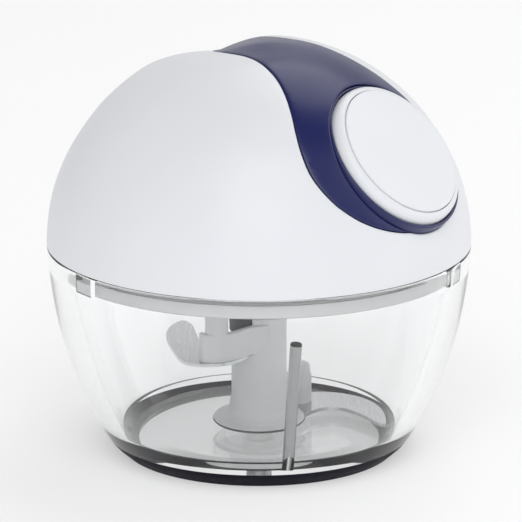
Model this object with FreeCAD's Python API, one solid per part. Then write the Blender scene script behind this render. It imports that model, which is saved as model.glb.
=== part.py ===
import FreeCAD, Part
import math
import os

# Pull-string food chopper: a clear ball-shaped bowl closed by a domed lid that
# carries a cord-wound reel, with a two-blade unit turning on a pin in the bowl.
# Millimetres. Origin at the bottom centre of the base ring, +Z up. The pull
# handle lies on the +X, -Y side of the dome.

os.makedirs("parts", exist_ok=True)
V = FreeCAD.Vector

# ---------------------------------------------------------------- dimensions
BALL_R = 63.3            # largest radius, at the seam between bowl and lid
SEAM_Z = 63.6            # height of the dome's lower edge
TOP_Z = 124.7            # crown of the dome
DOME_WALL = 2.4

RIM_Z = 63.3             # top of the bowl rim
BOWL_FLOOR_Z = 6.6       # inside floor
BOWL_UNDER_Z = 1.6       # underside of the clear floor
BOWL_LAND_R = 56.5       # straight inner land that takes the lid skirt
RING_TOP_Z = 4.8
RING_IN_R = 36.7

PIN_R = 2.5
PIN_TOP_Z = 36.0
ROD_R = 1.7
ROD_FOOT = V(8.0, -40.3, 6.4)
ROD_HEAD = V(10.6, -40.8, 44.0)

COLUMN_R = 8.3
COLUMN_CUP_Z = 36.5      # floor of the recess that takes the drive socket
COLUMN_TOP_Z = 44.0
BLADE_T = 0.9
LOW_BLADE_Z = 8.4
HIGH_BLADE_Z = 30.75
HEX_AF = 8.0             # drive shaft hexagon across flats
HEX_PLAY = 0.3           # extra across flats in the socket

SKIRT_R = 56.2
SKIRT_LOW_Z = 56.6
PLATE_Z = (60.8, 63.0)
LUG_ANGLES = (-147.4, -20.0, 96.0)
LUG_W = 7.2
LUG_Z = (56.9, 60.2)
LUG_R = 58.9

PILLAR_R = 3.4
PILLAR_PCR = 28.0
PILLAR_ANGLES = (20.0, 110.0, 200.0, 290.0)
COVER_Z = (89.6, 91.4)

REEL_Z = (76.1, 88.4)
DRUM_R = 14.5
CORD_R = 0.9
CORD_LINE_R = DRUM_R + CORD_R
CORD_LEAVE_Z = 84.4

HANDLE_C = V(41.8, -28.7, 99.3)          # centre of the handle's face
HANDLE_N = V(0.6226, -0.4294, 0.6543)    # direction of pull
HANDLE_N.normalize()
HANDLE_R = 23.2
POCKET_R = 23.5
CUP_R = 24.5
COLLAR_U = -3.3          # collar top, measured along the pull direction
POCKET_U = -11.2
CUP_U = -13.2

DOME_C = V(0, 0, SEAM_Z)


# ------------------------------------------------------------------- helpers
def save(name, shape):
    shape = shape.removeSplitter() if name in CLEAN else shape
    shape.exportStep("parts/%s.step" % name)
    print("%-16s solids %d valid %s volume %.2f" % (
        name, len(shape.Solids), shape.isValid(), shape.Volume))


CLEAN = set()


def rev(points, a=360.0):
    """Solid of revolution about Z from a closed (r, z) polygon."""
    pts = [V(r, 0, z) for r, z in points]
    pts.append(pts[0])
    face = Part.Face(Part.makePolygon(pts))
    return face.revolve(V(0, 0, 0), V(0, 0, 1), a)


def spline(points, t0=None, t1=None):
    c = Part.BSplineCurve()
    pts = [V(r, 0, z) for r, z in points]
    if t0 is not None and t1 is not None:
        c.interpolate(Points=pts, InitialTangent=V(t0[0], 0, t0[1]),
                      FinalTangent=V(t1[0], 0, t1[1]))
    else:
        c.interpolate(Points=pts)
    return c


def edges_of(chain):
    """chain: list of either ('l', [(r,z),...]) polylines or ('c', curve)."""
    out = []
    for kind, data in chain:
        if kind == "l":
            for p, q in zip(data[:-1], data[1:]):
                out.append(Part.makeLine(V(p[0], 0, p[1]), V(q[0], 0, q[1])))
        else:
            out.append(data.toShape())
    return out


def rev_chain(chain):
    wire = Part.Wire(Part.__sortEdges__(edges_of(chain)))
    return Part.Face(wire).revolve(V(0, 0, 0), V(0, 0, 1), 360)


def cyl(r, z0, z1, x=0.0, y=0.0):
    return Part.makeCylinder(r, z1 - z0, V(x, y, z0))


def hexagon(af, z0, z1):
    rc = af / math.sqrt(3.0)
    pts = [V(rc * math.cos(math.radians(60 * i + 30)),
             rc * math.sin(math.radians(60 * i + 30)), z0) for i in range(7)]
    return Part.Face(Part.makePolygon(pts)).extrude(V(0, 0, z1 - z0))


def at_handle(shape):
    """Place a shape drawn about local Z (face centre at 0) on the pull axis."""
    s = shape.copy()
    s.Placement = FreeCAD.Placement(HANDLE_C, FreeCAD.Rotation(V(0, 0, 1), HANDLE_N))
    return s


def turned(shape, deg):
    s = shape.copy()
    s.rotate(V(0, 0, 0), V(0, 0, 1), deg)
    return s


def offset_inward(points, d):
    """Points of a profile moved by d towards its inner side."""
    out = []
    n = len(points)
    for i, (r, z) in enumerate(points):
        a = points[max(i - 1, 0)]
        b = points[min(i + 1, n - 1)]
        tr, tz = b[0] - a[0], b[1] - a[1]
        if i == n - 1:
            tr, tz = -1.0, 0.0
        if i == 0:
            tr, tz = 0.0, 1.0
        m = math.hypot(tr, tz)
        out.append((r - d * tz / m, z + d * tr / m))
    return out


# ---------------------------------------------------------------- dome shape
DOME_PROFILE = [(BALL_R, SEAM_Z), (63.05, 68.5), (62.2, 75.0), (60.4, 82.0),
                (57.0, 90.0), (52.15, 98.0), (46.65, 105.0), (39.0, 112.0),
                (31.4, 117.0), (22.8, 121.0), (14.2, 123.4), (0.0, TOP_Z)]


def dome_solid(off0, off1):
    """Shell between two inward offsets of the dome profile."""
    outer = spline(DOME_PROFILE, (0, 1), (-1, 0)) if off0 == 0 else \
        spline(offset_inward(DOME_PROFILE, off0), (0, 1), (-1, 0))
    dense = []
    base = spline(DOME_PROFILE, (0, 1), (-1, 0))
    for i in range(15):
        t = base.FirstParameter + (base.LastParameter - base.FirstParameter) * i / 14.0
        p = base.value(t)
        g = base.tangent(t)[0]
        m = math.hypot(g.x, g.z)
        dense.append((p.x - off1 * g.z / m, p.z + off1 * g.x / m))
    dense[-1] = (0.0, TOP_Z - off1)
    dense[0] = (BALL_R - off1, SEAM_Z)
    inner = spline(dense, (0, 1), (-1, 0))
    p0, p1 = outer.value(outer.FirstParameter), outer.value(outer.LastParameter)
    q0, q1 = inner.value(inner.FirstParameter), inner.value(inner.LastParameter)
    chain = [("c", outer), ("l", [(p1.x, p1.z), (q1.x, q1.z)]),
             ("c", inner), ("l", [(q0.x, q0.z), (p0.x, p0.z)])]
    return rev_chain(chain)


# Outline of the coloured panel on the dome surface, one closed loop (x, y, z).
PANEL_LOOP = [
    (-8.8, -4.6, 123.8), (-3.3, -11.2, 123.6), (1.6, -18.7, 121.9),
    (5.1, -24.7, 119.5), (7.6, -30.7, 116.4), (9.6, -37.5, 111.9),
    (10.9, -42.7, 107.3), (12.5, -46.9, 102.8), (15.1, -50.4, 97.6),
    (19.0, -52.3, 92.7), (23.7, -52.8, 88.2), (30.1, -51.6, 83.8),
    (36.9, -48.4, 80.5), (43.4, -43.4, 78.4), (49.7, -36.6, 77.7),
    (54.7, -28.6, 78.6), (57.8, -20.4, 81.6), (57.9, -13.2, 86.5),
    (55.4, -7.4, 92.6), (50.9, -3.8, 99.4), (46.6, -2.2, 104.4),
    (42.0, -1.4, 109.1), (37.6, -0.8, 112.6), (32.4, 0.5, 116.0),
    (26.6, 2.4, 118.9), (20.1, 4.8, 121.3), (14.2, 7.1, 122.7),
    (9.2, 8.6, 123.4), (5.2, 10.6, 123.5), (2.2, 14.2, 123.2),
    (0.6, 19.2, 121.9), (-0.6, 25.0, 119.9), (-2.0, 31.0, 117.1),
    (-4.0, 37.0, 113.4), (-7.2, 42.0, 109.2), (-10.4, 42.4, 108.4),
    (-12.4, 37.6, 112.0), (-13.4, 31.0, 116.2), (-14.0, 23.6, 119.4),
    (-14.2, 16.0, 121.9), (-13.9, 8.6, 123.1), (-12.4, 1.4, 123.9)]


def panel_cut(shift):
    """Radial cutting face through the loop; shift > 0 grows the loop (mm)."""
    n = len(PANEL_LOOP)
    dirs = []
    for x, y, z in PANEL_LOOP:
        d = V(x, y, z).sub(DOME_C)
        d.normalize()
        dirs.append(d)
    grown = []
    for i in range(n):
        t = dirs[(i + 1) % n].sub(dirs[i - 1])
        t.normalize()
        side = dirs[i].cross(t)          # points out of the loop
        side.normalize()
        d = dirs[i].add(V(side).multiply(shift / 62.0 * LOOP_SIGN))
        d.normalize()
        grown.append(d)
    wires = []
    for k in (50.0, 76.0):
        c = Part.BSplineCurve()
        c.interpolate(Points=[DOME_C.add(V(d).multiply(k)) for d in grown],
                      PeriodicFlag=True)
        wires.append(Part.Wire([c.toShape()]))
    return Part.makeLoft(wires, False, True)


LOOP_SIGN = -1.0


def split_shell(shell, cutter):
    """Return (inside, outside) pieces of a shell cut by the loop face."""
    pieces = shell.generalFuse([cutter])[1][0]
    solids = []
    for p in pieces:
        solids += p.Solids
    solids.sort(key=lambda s: s.Volume)
    return solids[0], solids[-1]


# ------------------------------------------------------------- bowl (bottom)
FOOT_R = 45.68           # outside radius where the base ring meets the bowl


def outer_r(z):
    """Outside radius of the bowl at height z."""
    return round(42.5332 + 0.690268 * z - 0.0072116 * z ** 2 + 2.3542e-5 * z ** 3, 3)


def inner_r(z):
    """Inside radius of the bowl at height z, above the ledge round the floor."""
    return round(36.4926 + 0.617259 * z - 0.00508284 * z ** 2 + 7.834e-6 * z ** 3, 3)


OUTER = ([(FOOT_R, RING_TOP_Z)]
         + [(outer_r(z), z) for z in (8.0, 12.0, 16.5, 21.5, 27.0, 33.0, 39.0, 45.0, 51.0, 57.0)]
         + [(BALL_R - 0.05, RIM_Z - 0.6)])
LEDGE_Z = 9.2            # ledge round the floor
STEP = [(38.6, BOWL_FLOOR_Z), (40.6, LEDGE_Z), (41.4, LEDGE_Z)]
INNER = ([(inner_r(z), z) for z in (10.6, 14.0, 18.0, 22.5, 27.5, 33.0, 39.0, 45.0, 50.5)]
         + [(BOWL_LAND_R, 55.8)])
bowl = rev_chain([
    ("l", [(0, BOWL_UNDER_Z), (RING_IN_R, BOWL_UNDER_Z),
           (RING_IN_R, RING_TOP_Z), OUTER[0]]),
    ("c", spline(OUTER)),
    ("l", [OUTER[-1], (BALL_R - 0.7, RIM_Z), (BOWL_LAND_R + 0.5, RIM_Z),
           (BOWL_LAND_R, RIM_Z - 0.5), INNER[-1]]),
    ("c", spline(INNER)),
    ("l", [INNER[0]] + STEP[::-1] + [(0, BOWL_FLOOR_Z), (0, BOWL_UNDER_Z)])])
for a in LUG_ANGLES:
    slot = Part.makeBox(LUG_R + 0.4 - 50.0, LUG_W + 0.8, 10.0,
                        V(50.0, -(LUG_W + 0.8) / 2, LUG_Z[0] - 0.9))
    bowl = bowl.cut(turned(slot, a))
bowl = bowl.cut(cyl(PIN_R, 3.2, 20))

rod_dir = ROD_HEAD.sub(ROD_FOOT)
rod_len = rod_dir.Length
rod_dir.normalize()
rod = Part.makeCylinder(ROD_R, rod_len, ROD_FOOT, rod_dir)
bowl = bowl.cut(rod)
save("bowl_shell", bowl)
save("baffle_rod", rod)

tip = rev([(0, 0), (ROD_R, 0), (ROD_R, 0.3), (ROD_R * 0.9, 0.65),
           (ROD_R * 0.6, 0.88), (0, 0.95)])
tip.Placement = FreeCAD.Placement(ROD_HEAD, FreeCAD.Rotation(V(0, 0, 1), rod_dir))
save("rod_tip", tip)

ring_out = spline([(41.5, 0.55), (42.6, 1.5), (44.3, 3.1), (FOOT_R, RING_TOP_Z)])
ring = rev_chain([
    ("l", [(FOOT_R, RING_TOP_Z), (RING_IN_R, RING_TOP_Z), (RING_IN_R, 0.5),
           (37.2, 0.0), (38.6, 0.0), (38.9, 0.35), (39.4, 0.35), (39.7, 0.0),
           (40.9, 0.0), (41.5, 0.55)]),
    ("c", ring_out)])
save("base_ring", ring)

pin = rev([(0, 3.2), (PIN_R, 3.2), (PIN_R, BOWL_FLOOR_Z), (4.0, BOWL_FLOOR_Z),
           (4.0, 7.3), (PIN_R, 7.3), (PIN_R, PIN_TOP_Z - 1.6),
           (PIN_R - 0.4, PIN_TOP_Z - 0.7), (PIN_R - 1.2, PIN_TOP_Z - 0.15),
           (0, PIN_TOP_Z)])
save("pivot_pin", pin)


# ---------------------------------------------------------------- blade unit
def closed_face(curves_pts, z):
    """Planar face at height z from a list of point lists joined end to end."""
    edges = []
    for pts in curves_pts:
        vs = [V(x, y, z) for x, y in pts]
        if len(vs) == 2:
            edges.append(Part.makeLine(vs[0], vs[1]))
        else:
            c = Part.BSplineCurve()
            c.interpolate(vs)
            edges.append(c.toShape())
    return Part.Face(Part.Wire(edges))


CONVEX = [(-0.5, 8.0), (2.8, 13.2), (5.8, 17.4), (8.8, 20.4), (12.4, 22.4),
          (18.0, 23.4), (24.3, 22.6), (30.8, 19.2), (35.4, 14.0), (38.0, 7.4),
          (38.7, 1.2), (38.5, -3.6)]
CONCAVE = [(38.5, -3.6), (37.4, -5.2), (35.9, -3.9), (34.2, -1.0), (32.0, 2.6),
           (29.2, 6.2), (25.4, 9.2), (20.6, 9.8), (16.2, 6.8), (12.6, 1.2), (7.0, -5.0)]
# the upper blade sweeps further round the column; drawn as if it were turned
# half a turn, like the lower one
HIGH_CONVEX = [(1.2, 7.6), (3.4, 11.8), (6.2, 15.8), (9.4, 18.5), (13.4, 19.8),
               (17.6, 19.6), (21.0, 18.0), (23.4, 14.6), (25.2, 8.6), (26.8, 2.0),
               (28.1, -5.0), (28.2, -12.0), (26.6, -18.6), (23.6, -23.2)]
HIGH_CONCAVE = [(23.6, -23.2), (21.2, -19.8), (19.8, -14.4), (18.8, -8.0),
                (17.8, -2.4), (16.2, 3.2), (13.4, 7.0), (10.0, 7.4), (6.0, 4.0)]


def blade(a, b, z, root):
    """Crescent blade with a ring root, between its two long edges."""
    face = closed_face([a, b, [b[-1], a[0]]], z)
    body = face.extrude(V(0, 0, BLADE_T))
    ring_ = cyl(root, z, z + BLADE_T)
    return body.fuse(ring_).cut(cyl(5.0, z - 1, z + 2)).removeSplitter()


def bevelled(shape, z):
    """Ground edge along the outer curve of a blade."""
    far = []
    for e in shape.Edges:
        zs = [v.Z for v in e.Vertexes]
        if not zs or min(zs) < z + BLADE_T - 0.01 or e.Length < 25:
            continue
        mid = e.valueAt((e.FirstParameter + e.LastParameter) / 2)
        if mid.x * mid.x + mid.y * mid.y > 18 ** 2:
            far.append((math.hypot(mid.x, mid.y), e))
    far.sort(key=lambda t: -t[0])
    if far:
        try:
            s = shape.makeChamfer(0.55, 1.6, [far[0][1]])
            if s.isValid() and len(s.Solids) == 1:
                return s
        except Exception:
            pass
    return shape


low_blade = bevelled(blade(CONVEX, CONCAVE, LOW_BLADE_Z, 10.4), LOW_BLADE_Z)
high_blade = turned(bevelled(blade(HIGH_CONVEX, HIGH_CONCAVE, HIGH_BLADE_Z, 7.6), HIGH_BLADE_Z), 180)
save("lower_blade", low_blade)
save("upper_blade", high_blade)


def softened(shape, z, sizes, least=5.0):
    """Rounds the long edges in the plane at height z with the first radius that works."""
    top = [e for e in shape.Edges if e.Length > least and
           all(abs(v.Z - z) < 1e-6 for v in e.Vertexes)]
    for r in sizes:
        try:
            soft = shape.makeFillet(r, top)
            if soft.isValid() and len(soft.Solids) == 1:
                return soft
        except Exception:
            pass
    return shape


def post(z, height, r, x, y):
    p = cyl(r, z, z + height, x, y)
    return p.makeFillet(1.3, [e for e in p.Edges
                              if all(abs(v.Z - z - height) < 1e-6 for v in e.Vertexes)
                              and e.Length > 10])


def low_carrier(z):
    """Curved arm standing on the blade, with a taller post at its far end."""
    face = closed_face([
        [(-1.0, 7.5), (1.8, 10.4), (5.2, 14.4), (8.6, 17.2), (12.2, 18.6), (14.2, 18.6)],
        [(14.2, 18.6), (15.7, 17.8), (16.2, 16.2), (15.7, 14.6), (14.2, 13.6)],
        [(14.2, 13.6), (12.2, 12.9), (9.4, 11.3), (6.6, 8.6), (4.2, 5.2)],
        [(4.2, 5.2), (-1.0, 7.5)]], z)
    arm = softened(face.extrude(V(0, 0, 8.2)), z + 8.2, (1.0, 0.6, 0.3))
    return arm.fuse(post(z, 11.4, 3.1, 12.7, 15.6)).removeSplitter()


def high_carrier(z, height):
    """Curved wall standing on the blade, hollow behind, that wraps the column's front;
    its near end rises towards the column and a tall post stands at its far end."""
    face = closed_face([
        [(-3.1, 7.5), (-2.5, 8.9), (-0.6, 9.8), (2.0, 10.9), (5.2, 14.2), (8.8, 17.2),
         (12.6, 18.7), (15.0, 18.7)],
        [(15.0, 18.7), (16.9, 17.7), (17.6, 15.9), (16.9, 14.1), (15.0, 13.1)],
        [(15.0, 13.1), (12.4, 12.6), (9.6, 11.0), (6.8, 8.4), (4.4, 5.2)],
        [(4.4, 5.2), (-3.1, 7.5)]], z)
    arm = softened(face.extrude(V(0, 0, height)), z + height, (0.7, 0.5, 0.3))
    hollow = closed_face([
        [(0.4, 7.6), (2.8, 9.3), (6.3, 12.9), (9.6, 15.6), (12.8, 17.1), (15.0, 17.1)],
        [(15.0, 17.1), (15.8, 16.7), (16.0, 15.9)],
        [(16.0, 15.9), (18.5, 11.0), (12.0, 2.0), (2.0, 2.0), (0.4, 7.6)]], z + 1.6)
    arm = arm.cut(hollow.extrude(V(0, 0, height)))
    rise = Part.Face(Part.makePolygon([
        V(1.9, 6.2, z - 2), V(-6, 6.2, z - 2), V(-6, 6.2, z + 4.9), V(-3.4, 6.2, z + 3.3),
        V(-0.8, 6.2, z + 1.1), V(1.9, 6.2, z), V(1.9, 6.2, z - 2)])).extrude(V(0, 9, 0))
    arm = arm.cut(rise)
    arm = max(arm.Solids, key=lambda t: t.Volume)
    return arm.fuse(post(z, 18.2, 3.4, 12.5, 15.4)).removeSplitter()


column = rev([(2.7, 16.0), (4.2, 16.0), (4.2, 7.6), (5.0, 7.6), (5.0, LOW_BLADE_Z + BLADE_T),
              (13.4, LOW_BLADE_Z + BLADE_T), (13.9, 9.7), (13.6, 10.2), (11.2, 10.6),
              (9.6, 11.6), (8.9, 13.4), (COLUMN_R, 17.0), (COLUMN_R, COLUMN_TOP_Z - 0.6),
              (COLUMN_R - 0.6, COLUMN_TOP_Z), (7.0, COLUMN_TOP_Z),
              (7.0, COLUMN_CUP_Z), (2.7, COLUMN_CUP_Z)])
column = column.cut(high_blade)
window = turned(rev([(6.5, COLUMN_CUP_Z), (10.0, COLUMN_CUP_Z), (10.0, COLUMN_TOP_Z + 1),
                     (6.5, COLUMN_TOP_Z + 1)], 76.0), 180)
key = turned(rev([(6.5, COLUMN_CUP_Z), (8.9, COLUMN_CUP_Z), (8.9, COLUMN_TOP_Z),
                  (6.5, COLUMN_TOP_Z)], 75.0), 180.5)
column = column.cut(window)

low_arm = low_carrier(LOW_BLADE_Z + BLADE_T).cut(
    rev([(0, 8), (13.9, 8), (13.9, 9.7), (13.6, 10.2), (11.2, 10.6), (9.6, 11.6),
         (8.9, 13.4), (COLUMN_R, 17.0), (COLUMN_R, 40), (0, 40)]))
high_arm = turned(high_carrier(HIGH_BLADE_Z + BLADE_T, 8.3), 180).cut(
    cyl(COLUMN_R, 20, 60)).cut(high_blade).cut(key)
low_arm = low_arm.cut(low_blade)
save("lower_carrier", max(low_arm.Solids, key=lambda s: s.Volume))
save("upper_carrier", max(high_arm.Solids, key=lambda s: s.Volume))
save("blade_column", column)

bush = rev([(PIN_R + 0.05, 7.6), (4.2, 7.6), (4.2, 16.0), (PIN_R + 0.05, 16.0)])
save("column_bush", bush)

socket = rev([(0, COLUMN_CUP_Z), (7.0, COLUMN_CUP_Z), (7.0, COLUMN_TOP_Z), (8.1, COLUMN_TOP_Z),
              (8.1, 53.2), (7.4, 54.0), (0, 54.0)])
socket = socket.fuse(key)
socket = socket.cut(hexagon(HEX_AF + HEX_PLAY, 45.4, 60)).removeSplitter()
mouth = rev([(0, 53.0), (4.6, 53.0), (5.9, 54.4), (0, 54.4)])
socket = socket.cut(mouth)
save("drive_socket", socket)

# ----------------------------------------------------------------- lid plate
plate = rev([(5.0, 57.0), (9.0, 57.0), (9.0, PLATE_Z[0]), (53.8, PLATE_Z[0]),
             (53.8, SKIRT_LOW_Z + 0.4), (54.2, SKIRT_LOW_Z), (SKIRT_R - 0.4, SKIRT_LOW_Z),
             (SKIRT_R, SKIRT_LOW_Z + 0.4), (SKIRT_R, 60.5), (55.2, 60.5), (55.2, 62.1),
             (SKIRT_R, 62.1), (SKIRT_R, RIM_Z + 0.05), (BALL_R - DOME_WALL, RIM_Z + 0.05),
             (BALL_R - DOME_WALL, SEAM_Z), (60.7, SEAM_Z), (60.7, 65.4), (54.5, 65.4),
             (54.5, PLATE_Z[1]), (9.0, PLATE_Z[1]), (9.0, 66.2), (5.0, 66.2)])
for a in LUG_ANGLES:
    lug = Part.makeBox(LUG_R - 55.6, LUG_W, LUG_Z[1] - LUG_Z[0],
                       V(55.6, -LUG_W / 2, LUG_Z[0]))
    plate = plate.fuse(turned(lug, a))
for a in PILLAR_ANGLES:
    x = PILLAR_PCR * math.cos(math.radians(a))
    y = PILLAR_PCR * math.sin(math.radians(a))
    plate = plate.fuse(cyl(PILLAR_R, PLATE_Z[1] - 0.5, COVER_Z[0], x, y))
    plate = plate.cut(cyl(1.2, COVER_Z[0] - 10, COVER_Z[0] + 1, x, y))
for i in range(12):
    a = 15.0 + 30.0 * i
    rib = Part.makeBox(20.0, 1.6, 4.5, V(35.0, -0.8, PLATE_Z[1] - 0.3))
    plate = plate.fuse(turned(rib, a))
save("lid_plate", plate.removeSplitter())

seal = rev([(55.2, 60.5), (55.9, 60.5), (56.42, 60.9), (56.2, 61.3), (56.42, 61.7),
            (55.9, 62.1), (55.2, 62.1)])
save("lid_seal", seal)

low_bush = rev([(4.05, 57.2), (5.0, 57.2), (5.0, 66.2), (4.05, 66.2)])
save("lower_bush", low_bush)

housing = rev([(6.2, 66.2), (20.2, 66.2), (20.2, PLATE_Z[1]), (21.5, PLATE_Z[1]),
               (21.5, 75.0), (20.2, 75.0), (20.2, 67.4), (6.2, 67.4)])
save("spring_housing", housing)
cover_ring = rev([(7.2, 75.0), (21.5, 75.0), (21.5, 75.7), (7.2, 75.7)])
save("spring_cover", cover_ring)

# flat spiral recoil spring
TURNS, R0, R1, T = 6.0, 5.75, 19.9, 0.45
fa, fb = [], []
N = 120
for i in range(N + 1):
    th = 2 * math.pi * TURNS * i / N
    r = R0 + (R1 - R0) * i / N
    fa.append(V((r - T / 2) * math.cos(th), (r - T / 2) * math.sin(th), 68.0))
    fb.append(V((r + T / 2) * math.cos(th), (r + T / 2) * math.sin(th), 68.0))
ca, cb = Part.BSplineCurve(), Part.BSplineCurve()
ca.interpolate(fa)
cb.interpolate(fb)
spring = Part.Face(Part.Wire([ca.toShape(), Part.makeLine(fa[-1], fb[-1]),
                              cb.toShape(), Part.makeLine(fb[0], fa[0])]))
spring = spring.extrude(V(0, 0, 6.2))
save("recoil_spring", spring)

# ------------------------------------------------------------- reel and shaft
shaft = rev([(0, 56.6), (4.0, 56.6), (4.0, 88.9), (3.0, 88.9), (3.0, 92.9),
             (2.6, 92.9), (2.6, 93.6), (3.0, 93.6), (3.0, 94.3), (2.6, 94.7), (0, 94.7)])
shaft = shaft.fuse(hexagon(HEX_AF, 46.0, 56.6)).removeSplitter()
save("drive_shaft", shaft)
arbor = rev([(4.0, 67.6), (5.4, 67.6), (5.4, REEL_Z[0]), (4.0, REEL_Z[0])])
save("spring_arbor", arbor)
reel = rev([(4.0, REEL_Z[0]), (18.5, REEL_Z[0]), (18.5, 77.4), (DRUM_R, 77.4),
            (DRUM_R, 87.1), (18.5, 87.1), (18.5, REEL_Z[1]), (4.0, REEL_Z[1])])
for i in range(5):
    a = math.radians(72 * i)
    reel = reel.cut(cyl(2.6, 70, 90, 9.4 * math.cos(a), 9.4 * math.sin(a)))
save("cord_reel", reel)

PITCH, WRAPS = 1.85, 3.25
LEAVE_DEG = -101.69                      # where the cord leaves the drum
helix = Part.makeHelix(PITCH, PITCH * WRAPS, CORD_LINE_R + 0.02)
helix.translate(V(0, 0, CORD_LEAVE_Z - PITCH * (WRAPS + 1.4 / 360)))
start = helix.Vertexes[0].Point
prof = Part.Wire([Part.makeCircle(CORD_R, start, V(0, 1, 0))])
wraps = Part.Wire(helix.Edges).makePipeShell([prof], True, True)
wraps = turned(wraps, LEAVE_DEG - 1.4 - 360 * WRAPS)
save("cord_wraps", wraps)

clip = rev([(2.62, 92.95), (5.0, 92.95), (5.0, 93.55), (2.62, 93.55)])
clip = clip.cut(Part.makeBox(6, 3.4, 2, V(0, -1.7, 92.5)))
save("retaining_clip", clip)

# ------------------------------------------------------- bridge over the reel
bridge = cyl(7.4, COVER_Z[0], COVER_Z[1])
for a in PILLAR_ANGLES:
    arm = Part.makeBox(PILLAR_PCR, 9.0, COVER_Z[1] - COVER_Z[0], V(0, -4.5, COVER_Z[0]))
    arm = arm.fuse(cyl(4.5, COVER_Z[0], COVER_Z[1], PILLAR_PCR, 0))
    bridge = bridge.fuse(turned(arm, a))
bridge = bridge.fuse(cyl(7.0, 89.0, 92.6))
bridge = bridge.cut(cyl(4.4, 80, 100))
screws = []
for a in PILLAR_ANGLES:
    x = PILLAR_PCR * math.cos(math.radians(a))
    y = PILLAR_PCR * math.sin(math.radians(a))
    bridge = bridge.cut(cyl(1.35, 80, 100, x, y))
    head = rev([(0, COVER_Z[1]), (2.6, COVER_Z[1]), (2.6, COVER_Z[1] + 0.8),
                (2.0, COVER_Z[1] + 1.6), (0, COVER_Z[1] + 1.75)])
    head = head.cut(Part.makeBox(3.0, 0.8, 1, V(-1.5, -0.4, COVER_Z[1] + 0.9)))
    head = head.cut(Part.makeBox(0.8, 3.0, 1, V(-0.4, -1.5, COVER_Z[1] + 0.9)))
    s = head.fuse(cyl(1.2, COVER_Z[0] - 9.5, COVER_Z[1]))
    s = turned(s, a)
    s.translate(V(x, y, 0))
    screws.append(s)
save("bridge", bridge.removeSplitter())
save("bridge_screws", Part.makeCompound(screws))
up_bush = rev([(3.05, 89.0), (4.4, 89.0), (4.4, 92.6), (3.05, 92.6)])
save("upper_bush", up_bush)

# ---------------------------------------------------------- dome and its panel
shell = dome_solid(0.0, DOME_WALL)
inside_b, outside_b = split_shell(shell, panel_cut(-0.07))
inside_w, outside_w = split_shell(shell, panel_cut(0.07))
white = outside_w
blue = inside_b

opening = at_handle(Part.makeCylinder(CUP_R + 0.15, 40, V(0, 0, -22)))
white = white.cut(opening)
white = max(white.Solids, key=lambda s: s.Volume)

cup = at_handle(Part.makeCylinder(CUP_R, COLLAR_U - CUP_U, V(0, 0, CUP_U)))
above = at_handle(Part.makeCylinder(CUP_R, 30, V(0, 0, COLLAR_U)))
pocket = at_handle(Part.makeCylinder(POCKET_R, 40, V(0, 0, POCKET_U)))
eye = at_handle(Part.makeCylinder(3.2, 20, V(0, 0, -20)))
blue = blue.fuse(cup).cut(above).cut(pocket).cut(eye)
blue = max(blue.Solids, key=lambda s: s.Volume)
save("dome_shell", white)
save("dome_panel", blue)

eyelet = rev([(1.35, -13.6), (3.2, -13.6), (3.2, POCKET_U), (4.8, POCKET_U),
              (4.8, -10.9), (4.3, -10.6), (2.2, -10.6), (1.35, -11.4)])
save("cord_eyelet", at_handle(eyelet))

# -------------------------------------------------------------------- handle
side = spline([(21.8, -10.0), (22.75, -9.2), (23.15, -7.6), (HANDLE_R, -5.4),
               (23.18, -3.6), (22.95, -2.2), (22.5, -1.3), (21.8, -0.75), (20.95, -0.55)])
body = rev_chain([
    ("l", [(20.95, -0.55), (20.95, -2.6), (18.8, -2.6), (18.8, -8.2), (4.6, -8.2),
           (4.6, -3.6), (2.55, -3.6), (2.55, -8.4), (1.4, -8.4), (1.4, -9.2),
           (5.6, -9.2), (5.6, -10.0), (21.8, -10.0)]),
    ("c", side)])
save("handle_body", at_handle(body))
crown = spline([(20.3, 0.0), (14.0, 0.22), (7.0, 0.36), (0.0, 0.4)], (-1, 0.02), (-1, 0))
cap = rev_chain([
    ("l", [(0, 0.4), (0, -2.6), (20.7, -2.6), (20.7, -0.35), (20.3, 0.0)]),
    ("c", crown)])
save("handle_cap", at_handle(cap))
ferrule = rev([(CORD_R + 0.02, -8.3), (2.45, -8.3), (2.45, -4.2), (CORD_R + 0.02, -4.2)])
save("cord_ferrule", at_handle(ferrule))

# cord lead: from the reel, through the eyelet, to the ferrule in the handle
eye_in = HANDLE_C.add(V(HANDLE_N).multiply(-14.4))
knot = HANDLE_C.add(V(HANDLE_N).multiply(-4.0))
az = math.atan2(eye_in.y, eye_in.x)
dist = math.hypot(eye_in.x, eye_in.y)
beta = math.acos(CORD_LINE_R / dist)
ta = az - beta
tangent_pt = V(CORD_LINE_R * math.cos(ta), CORD_LINE_R * math.sin(ta), CORD_LEAVE_Z)


def stick(a, b, r):
    d = b.sub(a)
    return Part.makeCylinder(r, d.Length, a, d)


lead = stick(tangent_pt, eye_in, CORD_R).fuse(
    [Part.makeSphere(CORD_R, eye_in), stick(eye_in, knot, CORD_R)])
save("cord_lead", lead.removeSplitter())
print("tangent azimuth %.2f deg, eyelet %.2f %.2f %.2f" % (
    math.degrees(ta), eye_in.x, eye_in.y, eye_in.z))
print("cord from drum to eyelet %.1f mm" % eye_in.sub(tangent_pt).Length)
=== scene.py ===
import math

import bmesh
import bpy
import numpy as np
from mathutils import Matrix, Vector
from mathutils.geometry import delaunay_2d_cdt


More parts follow.
